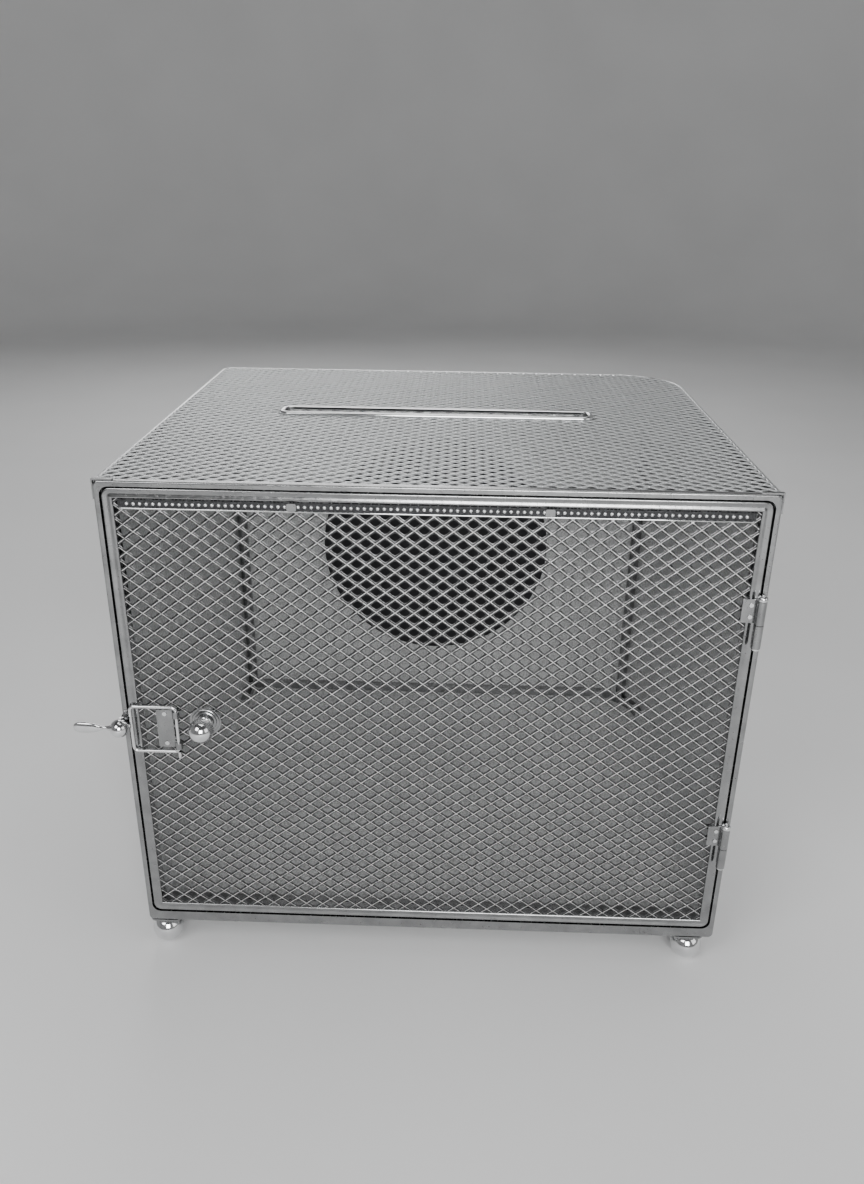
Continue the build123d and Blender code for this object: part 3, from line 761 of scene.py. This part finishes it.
class CARDBOX_OT_rails(bpy.types.Operator):
    """Finishes the frame, makes the moulded door rail and binds the edges of the top."""

    bl_idname = "card_box.rails"
    bl_label = "Frame and Rails"

    def execute(self, context):
        for node in ("front_frame", "stop_frame", "corner_caps"):
            dress(node, "rail_metal")
        sheet = ("floor_plate", "left_bottom_rail", "right_bottom_rail")
        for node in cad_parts:
            if node.endswith("_liner") or node in sheet:
                dress(node, "grained_liner")
            elif node.endswith("_rail") or node.endswith("_post"):
                dress(node, "rail_metal")
        self.door_rail()
        self.edge_wires()
        return {"FINISHED"}

    def door_rail(self):
        """The door's frame: two beads with a shallow channel between them."""
        low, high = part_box("door_frame")
        bar = depth = extent("door_frame").y
        bead = 1.2 * MM
        channel = 0.55 * MM
        corner = 5 * MM
        section = []
        for centre, start in ((bar - bead, 0), (bead, 90)):
            for i in range(7):
                angle = math.radians(start + 90 * i / 6)
                section.append((centre + bead * math.cos(angle), depth - bead + bead * math.sin(angle)))
        crown = [(bar - 2.2 * bead, depth - channel), (2.2 * bead, depth - channel)]
        outline = section[:7] + [(bar - 1.5 * bead, depth - 0.15 * bead)] + crown
        outline += [(1.5 * bead, depth - 0.15 * bead)] + section[7:] + [(0, 0), (bar, 0)]
        ring = rounded_ring(high.x - low.x, high.z - low.z, corner)
        centre = (low + high) / 2
        path = [(centre.x + a, high.y, centre.z + b) for a, b in ring]
        section = [(-a, b) for a, b in outline]
        points, faces = swept(path, section, True, [(0, -1, 0)] * len(path))
        piece("door_rail", points, faces, "door", "rail_metal", "chrome_trim", ("door_frame",), 40)

    def edge_wires(self):
        """Round wires that bind the top panel and the foot of the walls."""
        low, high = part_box("top_mesh")
        wire = 0.8 * MM
        outline = plan_outline(high.x - low.x, high.y - low.y, wire)
        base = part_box("left_mesh")[0].z
        for name, level in (("top_edge_wire", high.z - wire), ("base_edge_wire", base + wire)):
            path = [(low.x + a, low.y + b, level) for a, b in outline]
            points, faces = swept(path, round_section(wire, 12), True)
            piece(name, points, faces, "cabinet", "chrome", "chrome_trim")


class CARDBOX_OT_bead_row(bpy.types.Operator):
    """Makes the dark strip under the door's top rail, its beads, its wire and the tabs."""

    bl_idname = "card_box.bead_row"
    bl_label = "Bead Row"

    def execute(self, context):
        low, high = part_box("bead_strip")
        bead = 1.15 * MM
        pitch = 3.4 * MM
        back = 0.5 * MM
        lip = 0.35 * MM
        face = high.y - back
        tall = (high.z - low.z) / 2
        section = [(-tall, 0), (tall, 0)]
        for side in (1, -1):
            section += arc(side * (tall - lip), back, lip, 0, 180, 6)
        spine = [(x, high.y, (low.z + high.z) / 2) for x in (low.x, high.x)]
        piece("bead_backing", *swept(spine, section, False, [(0, -1, 0)] * 2), "door", "dark_strip",
              "chrome_trim", ("bead_strip",))
        count = int((high.x - low.x) / pitch) - 1
        start = (low.x + high.x - pitch * (count - 1)) / 2
        dome = [(0, bead)] + arc(0.15 * MM, 0, bead, 90, 0, 5)
        beads = [
            turned(dome, (start + pitch * i, face, (low.z + high.z) / 2), (0, -1, 0), 14)
            for i in range(count)
        ]
        piece("bead_row", *joined(*beads), "door", "chrome", "chrome_trim")
        low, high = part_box("bead_wire")
        radius = (high.z - low.z) / 2
        turn = 2.2 * MM
        level = (low.z + high.z) / 2
        bend = [
            (turn * (1 - math.cos(angle)), turn * (1 - math.sin(angle)))
            for angle in (math.pi / 2 * i / 6 for i in range(7))
        ]
        left = [(low.x + a, low.y + radius + b, level) for a, b in bend]
        right = [(high.x - a, low.y + radius + b, level) for a, b in reversed(bend)]
        piece("bead_wire_round", *swept(left + right, round_section(radius), False), "door", "chrome",
              "chrome_trim", ("bead_wire",))
        dress("mesh_tabs", "rail_metal")
        return {"FINISHED"}


class CARDBOX_OT_latch(bpy.types.Operator):
    """Makes the hasp's loop, ball and paddle, and finishes its plate, rivets and catch."""

    bl_idname = "card_box.latch"
    bl_label = "Latch"

    def execute(self, context):
        for node in ("latch_plate", "latch_backplate"):
            dress(node, "rail_metal")
        dress("latch_rivets", "chrome")
        self.catch()
        self.loop()
        self.ball()
        self.paddle()
        return {"FINISHED"}

    def catch(self):
        """A sprung fork on the cabinet's side that cups the ball from behind."""
        low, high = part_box("ball_catch")
        ball_low, ball_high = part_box("hasp_ball")
        radius = (ball_high.z - ball_low.z) / 2
        centre = Vector(((low.x + high.x) / 2, ball_low.y + radius, (low.z + high.z) / 2))
        wide, thick, reach = high.x - low.x, 0.9 * MM, 50
        grip = radius + 0.3 * MM + thick / 2
        cup = [
            centre + Vector((0, grip * math.cos(angle), grip * math.sin(angle)))
            for angle in (math.radians(-reach + 2 * reach * i / 20) for i in range(21))
        ]
        fork = swept(cup, rounded_ring(thick, wide, 0.3 * MM, 3), False, [(1, 0, 0)] * len(cup))
        front = centre.y + grip
        tab = rounded_ring(high.y - front, 8 * MM, 2.5 * MM, 6)
        spine = [(x, (high.y + front) / 2, centre.z) for x in (low.x, high.x)]
        plate = swept(spine, tab, False)
        piece("ball_catch_clip", *joined(fork, plate), "cabinet", "rail_metal", "chrome_trim",
              ("ball_catch",))

    def loop(self):
        low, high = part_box("hasp_loop")
        wire = (high.y - low.y) / 2
        centre = middle("hasp_loop")
        corner = 2.6 * MM
        pin = 4 * MM - wire
        height = high.z - low.z - pin
        ring = rounded_ring(high.x - low.x - 2 * wire, height - 2 * wire, corner, 6)
        path = [(centre.x + a, centre.y, high.z - height / 2 + b) for a, b in ring]
        around = swept(path, round_section(wire, 16), True, [(0, -1, 0)] * len(path))
        end = turned(
            arc(0.4 * wire, 0, wire, 180, 90, 4) + [(pin + wire, wire)],
            (high.x - wire, centre.y, low.z), (0, 0, 1), 16,
        )
        piece("hasp_loop_wire", *joined(around, end), "hasp", "chrome", "chrome_trim", ("hasp_loop",))

    def ball(self):
        low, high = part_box("hasp_ball")
        radius = (high.z - low.z) / 2
        centre = Vector((low.x + radius, low.y + radius, (low.z + high.z) / 2))
        loop_low, loop_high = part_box("hasp_loop")
        wire = (loop_high.y - loop_low.y) / 2
        leg = Vector((loop_low.x + wire, (loop_low.y + loop_high.y) / 2, centre.z))
        sphere = turned(arc(0, 0, radius, 180, 0, 24), centre, (1, 0, 0), 48)
        neck = turned(
            [(0, wire), (radius, 1.15 * wire), ((leg - centre).length - wire, wire)],
            centre, leg - centre, 20,
        )
        piece("hasp_ball_turned", *joined(sphere, neck), "hasp", "chrome", "chrome_trim",
              ("hasp_ball",))

    def paddle(self):
        """A flat spoon that flares onto the ball."""
        low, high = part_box("hasp_paddle")
        ball_low, ball_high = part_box("hasp_ball")
        radius = (ball_high.z - ball_low.z) / 2
        centre = Vector((ball_low.x + radius, ball_low.y + radius, (ball_low.z + ball_high.z) / 2))
        reach = centre.x - low.x
        # share of the reach, half width, half thickness
        stations = [
            (0.14, 2.5, 2.5), (0.18, 2.0, 2.0), (0.22, 1.55, 1.5), (0.26, 1.2, 1.15),
            (0.31, 1.05, 1.0), (0.38, 1.35, 1.0), (0.46, 2.1, 1.1), (0.54, 2.75, 1.25),
            (0.65, 3.15, 1.35), (0.77, 3.3, 1.35), (0.88, 3.15, 1.2), (0.94, 2.6, 1.0),
            (0.98, 1.6, 0.65), (1.0, 0.0, 0.0),
        ]
        around = 28
        points, faces, rings = [], [], []
        for share, wide, thick in smoothed(stations, 3):
            start = len(points)
            count = around if wide > 0.01 else 1
            for i in range(count):
                angle = math.tau * i / around
                points.append((
                    centre.x - reach * share,
                    centre.y + thick * MM * math.cos(angle),
                    centre.z + wide * MM * math.sin(angle),
                ))
            rings.append([start + (i if count > 1 else 0) for i in range(around)])
        for a, b in zip(rings, rings[1:]):
            for i in range(around):
                j = (i + 1) % around
                loop = [a[i], a[j], b[j], b[i]]
                faces.append(tuple(v for k, v in enumerate(loop) if v != loop[k - 1]))
        faces.append(tuple(reversed(rings[0])))
        piece("hasp_paddle_spoon", points, faces, "hasp", "chrome", "chrome_trim", ("hasp_paddle",))


def smoothed(stations, steps):
    """More stations between the given ones, on a smooth curve through them."""
    values = np.array(stations, float)
    made = []
    for i in range(len(values) - 1):
        a = values[max(i - 1, 0)]
        b, c = values[i], values[i + 1]
        d = values[min(i + 2, len(values) - 1)]
        for k in range(steps):
            t = k / steps
            made.append(0.5 * (
                2 * b + (c - a) * t + (2 * a - 5 * b + 4 * c - d) * t ** 2
                + (3 * b - a - 3 * c + d) * t ** 3
            ))
    made.append(values[-1])
    return [tuple(np.maximum(row, 0)) for row in made]


class CARDBOX_OT_knob(bpy.types.Operator):
    """Makes the door's ball knob and its stepped rosette."""

    bl_idname = "card_box.knob"
    bl_label = "Knob"

    def execute(self, context):
        low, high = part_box("door_knob")
        radius = (high.x - low.x) / 2
        rose_low, rose_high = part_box("knob_rosette")
        face = rose_low.y
        centre = Vector(((low.x + high.x) / 2, low.y + radius, (low.z + high.z) / 2))
        neck, stud = 2.5 * MM, 2 * MM
        stop = math.sqrt(radius ** 2 - neck ** 2)
        profile = [
            (high.y - centre.y, 0), (high.y - centre.y, stud), (face - centre.y, stud),
            (face - centre.y - 0.1 * MM, 1.5 * neck), (face - centre.y - 0.7 * MM, 1.4 * neck),
            (face - centre.y - 1.2 * MM, neck), (stop, neck),
        ]
        profile += arc(0, 0, radius, math.degrees(math.asin(neck / radius)), 180, 24)
        piece("door_knob_turned", *turned(profile, centre, (0, 1, 0)), "door", "chrome",
              "chrome_trim", ("door_knob",), 50)
        outer = (rose_high.x - rose_low.x) / 2
        thick = rose_high.y - rose_low.y
        bore = stud + 0.1 * MM
        steps = [(0, bore), (0, outer)]
        for share, level in ((1, 0.3), (0.82, 0.55), (0.62, 0.8)):
            edge = share * outer
            steps += [
                (level * thick, edge), ((level + 0.08) * thick, edge - 0.25 * MM),
                ((level + 0.08) * thick, edge - 0.1 * outer), (level * thick, edge - 0.14 * outer),
            ]
        steps += [(0.9 * thick, 0.44 * outer), (0.9 * thick, bore)]
        spot = (centre.x, rose_high.y, centre.z)
        piece("knob_rosette_turned", *turned(steps, spot, (0, -1, 0)), "door", "rail_metal",
              "chrome_trim", ("knob_rosette",), 25)
        dress("knob_nut", "rail_metal")
        return {"FINISHED"}


class CARDBOX_OT_hinges(bpy.types.Operator):
    """Makes the hinge pins with their domed heads, and finishes the leaves."""

    bl_idname = "card_box.hinges"
    bl_label = "Hinges"

    def execute(self, context):
        for level in ("upper", "lower"):
            dress(f"{level}_door_leaf", "rail_metal")
            dress(f"{level}_frame_leaf", "rail_metal")
            low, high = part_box(f"{level}_hinge_pin")
            centre = (low + high) / 2
            head = (high.x - low.x) / 2
            length = high.z - low.z
            pin, cap, foot, flare = 1.2 * MM, 2.6 * MM, 1.3 * MM, 2.1 * MM
            dome = 0.62 * cap
            profile = [(0, 0), (0, 1.5 * MM), (0.3 * foot, flare), (foot, flare), (foot, pin)]
            profile += [(length - cap, pin), (length - cap, head), (length - dome, head)]
            profile += arc(length - dome, head - dome, dome, 90, 0, 5) + [(length, 0)]
            points, faces = turned(profile, (centre.x, centre.y, low.z), (0, 0, 1), 32)
            piece(f"{level}_hinge_pin_turned", points, faces, "cabinet", "chrome", "chrome_trim",
                  (f"{level}_hinge_pin",))
        dress("hinge_rivets", "chrome")
        return {"FINISHED"}


class CARDBOX_OT_feet(bpy.types.Operator):
    """Makes the four ball feet, and finishes their plates."""

    bl_idname = "card_box.feet"
    bl_label = "Ball Feet"

    def execute(self, context):
        dress("foot_plates", "rail_metal")
        for row in ("front", "rear"):
            for side in ("left", "right"):
                node = f"{row}_{side}_foot"
                low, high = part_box(node)
                radius = (high.x - low.x) / 2
                flat, neck, stud = 0.4 * MM, 4 * MM, 2 * MM
                collar = 1.35 * neck
                centre = radius - flat
                rest = math.degrees(math.acos(centre / radius))
                top = math.degrees(math.asin(neck / radius))
                profile = [(0, 0)] + arc(centre, 0, radius, 180 - rest, top, 26)
                plate = high.z - low.z - 1.2 * MM
                profile += [
                    (plate - 1.6 * MM, neck), (plate - 1.2 * MM, collar), (plate, collar),
                    (plate, stud), (high.z - low.z, stud), (high.z - low.z, 0),
                ]
                spot = ((low.x + high.x) / 2, (low.y + high.y) / 2, low.z)
                piece(f"{node}_turned", *turned(profile, spot, (0, 0, 1)), "cabinet", "chrome",
                      "chrome_trim", (node,), 40)
        return {"FINISHED"}


class CARDBOX_OT_slot(bpy.types.Operator):
    """Makes the rounded rim of the card slot."""

    bl_idname = "card_box.slot"
    bl_label = "Card Slot"

    def execute(self, context):
        low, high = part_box("slot_trim")
        flange, neck, corner = 4 * MM, 2 * MM, 4 * MM
        length, width = high.x - low.x - 2 * flange, high.y - low.y - 2 * flange
        drop = high.z - low.z
        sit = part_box("top_mesh")[1].z + 0.1 * MM - low.z
        section = [(0, 0), (0, drop - 0.8 * MM)]
        rise = drop - sit
        for i in range(9):
            angle = math.radians(180 - 180 * i / 8)
            section.append((
                flange / 2 + flange / 2 * math.cos(angle),
                drop - 0.7 * rise + 0.7 * rise * math.sin(angle),
            ))
        section += [(flange, sit), (neck, sit), (neck, 0)]
        ring = rounded_ring(length, width, corner)
        centre = (low + high) / 2
        path = [(centre.x + a, centre.y + b, low.z) for a, b in ring]
        points, faces = swept(path, section, True)
        piece("slot_rim", points, faces, "cabinet", "chrome", "chrome_trim", ("slot_trim",), 40)
        return {"FINISHED"}


class CARDBOX_OT_disc(bpy.types.Operator):
    """Finishes the disc in the back wall in near black painted shade, with its rim and rivets."""

    bl_idname = "card_box.disc"
    bl_label = "Back Disc"

    def execute(self, context):
        dress("back_disc", "dark_disc")
        dress("disc_rim", "rail_metal")
        dress("disc_rivets", "chrome")
        return {"FINISHED"}


class CARDBOX_OT_studio(bpy.types.Operator):
    """Sets up the pale floor, the soft lights and the camera."""

    bl_idname = "card_box.studio"
    bl_label = "Studio"

    def execute(self, context):
        stage = context.scene.card_box_stage
        self.floor(context.scene.card_box_colours.floor)
        self.surround(stage.sky)
        centre = Vector((SHELL_X, 0, 0.15))
        lights = (
            ("key_light", (-0.85, -1.2, 1.4), 0.8, stage.key_power),
            ("front_light", (0.2, -1.6, 0.8), 0.8, stage.front_power),
            ("fill_light", (1.35, -0.75, 0.75), 0.9, stage.fill_power),
            ("top_light", (0.1, 0.15, 1.7), 1.1, stage.top_power),
            ("rear_light", (-0.3, 1.5, 1.1), 1.0, stage.rear_power),
        )
        for name, place, size, power in lights:
            self.light(name, Vector(place), centre, size, power)
        self.camera(stage.lens)
        context.scene.view_settings.look = "AgX - Medium High Contrast"
        return {"FINISHED"}

    def floor(self, colour):
        finish = Finish("studio_floor", 0.7, 0.0)
        finish.tint(finish.noise(3, 2), colour, 0.97, 1.02)
        reach, bend, tall = 2.4, 0.9, 3.2
        profile = [(0, 0), (0, reach)]
        for i in range(1, 13):
            angle = math.pi / 2 * i / 12
            profile.append((bend * (1 - math.cos(angle)), reach + bend * math.sin(angle)))
        profile.append((tall, reach + bend))
        points, faces = turned(profile, (0, 0, 0), (0, 0, 1), 96)
        mesh = bpy.data.meshes.new("studio_floor")
        mesh.from_pydata([tuple(p) for p in points], [], faces)
        mesh.flip_normals()
        mesh.polygons.foreach_set("use_smooth", [True] * len(mesh.polygons))
        mesh.materials.append(finish.material)
        made = bpy.data.objects.new("studio_floor", mesh)
        bpy.context.scene.collection.objects.link(made)

    def surround(self, strength):
        world = bpy.data.worlds.new("studio_surround")
        world.use_nodes = True
        sky = world.node_tree.nodes["Background"]
        sky.inputs["Color"].default_value = (0.86, 0.87, 0.88, 1)
        sky.inputs["Strength"].default_value = strength
        bpy.context.scene.world = world

    def light(self, name, place, target, size, power):
        lamp = bpy.data.lights.new(name, "AREA")
        lamp.shape = "SQUARE"
        lamp.size = size
        lamp.energy = power
        made = bpy.data.objects.new(name, lamp)
        made.location = place
        made.rotation_euler = (target - place).to_track_quat("-Z", "Y").to_euler()
        bpy.context.scene.collection.objects.link(made)

    def camera(self, lens):
        """A standing viewer's place: above the front, looking down and slightly left."""
        yaw, pitch, roll = (math.radians(a) for a in (1.672, 23.754, 0.708))
        forward = Vector((
            -math.sin(yaw) * math.cos(pitch), math.cos(yaw) * math.cos(pitch), -math.sin(pitch),
        ))
        level = Vector((math.cos(yaw), math.sin(yaw), 0))
        above = level.cross(forward)
        right = level * math.cos(roll) + above * math.sin(roll)
        up = above * math.cos(roll) - level * math.sin(roll)
        data = bpy.data.cameras.new("camera")
        data.lens = lens
        data.sensor_width = 36
        data.clip_start = 0.05
        made = bpy.data.objects.new("camera", data)
        turn = Matrix((right, up, -forward)).transposed().to_4x4()
        place = Vector((SHELL_X, DOOR_FACE_Y, shell_low.z)) + Vector((13.2, -473.6, 437.1)) * MM
        made.matrix_world = Matrix.Translation(place) @ turn
        bpy.context.scene.collection.objects.link(made)
        bpy.context.scene.camera = made


STEPS = (
    CARDBOX_OT_rails,
    CARDBOX_OT_mesh_panels,
    CARDBOX_OT_bead_row,
    CARDBOX_OT_latch,
    CARDBOX_OT_knob,
    CARDBOX_OT_hinges,
    CARDBOX_OT_feet,
    CARDBOX_OT_slot,
    CARDBOX_OT_disc,
    CARDBOX_OT_studio,
)


class CARDBOX_PT_sidebar(bpy.types.Panel):
    """Settings and steps of the card box."""

    bl_label = "Wedding Card Box"
    bl_space_type = "VIEW_3D"
    bl_region_type = "UI"
    bl_category = "Card Box"

    def draw(self, context):
        scene = context.scene
        for group in (scene.card_box_mesh, scene.card_box_colours, scene.card_box_stage):
            box = self.layout.box()
            for name in group.__annotations__:
                box.prop(group, name)
        for step in STEPS:
            self.layout.operator(step.bl_idname)


GROUPS = {
    "card_box_mesh": CardBoxMesh,
    "card_box_colours": CardBoxColours,
    "card_box_stage": CardBoxStage,
}


def register():
    for group in GROUPS.values():
        bpy.utils.register_class(group)
    for name, group in GROUPS.items():
        setattr(bpy.types.Scene, name, bpy.props.PointerProperty(type=group))
    for step in STEPS:
        bpy.utils.register_class(step)
    bpy.utils.register_class(CARDBOX_PT_sidebar)


def unregister():
    bpy.utils.unregister_class(CARDBOX_PT_sidebar)
    for step in reversed(STEPS):
        bpy.utils.unregister_class(step)
    for name, group in GROUPS.items():
        delattr(bpy.types.Scene, name)
        bpy.utils.unregister_class(group)


def main():
    register()
    bpy.ops.card_box.rails()
    bpy.ops.card_box.mesh_panels()
    bpy.ops.card_box.bead_row()
    bpy.ops.card_box.latch()
    bpy.ops.card_box.knob()
    bpy.ops.card_box.hinges()
    bpy.ops.card_box.feet()
    bpy.ops.card_box.slot()
    bpy.ops.card_box.disc()
    bpy.ops.card_box.studio()


if __name__ == "__main__":
    main()
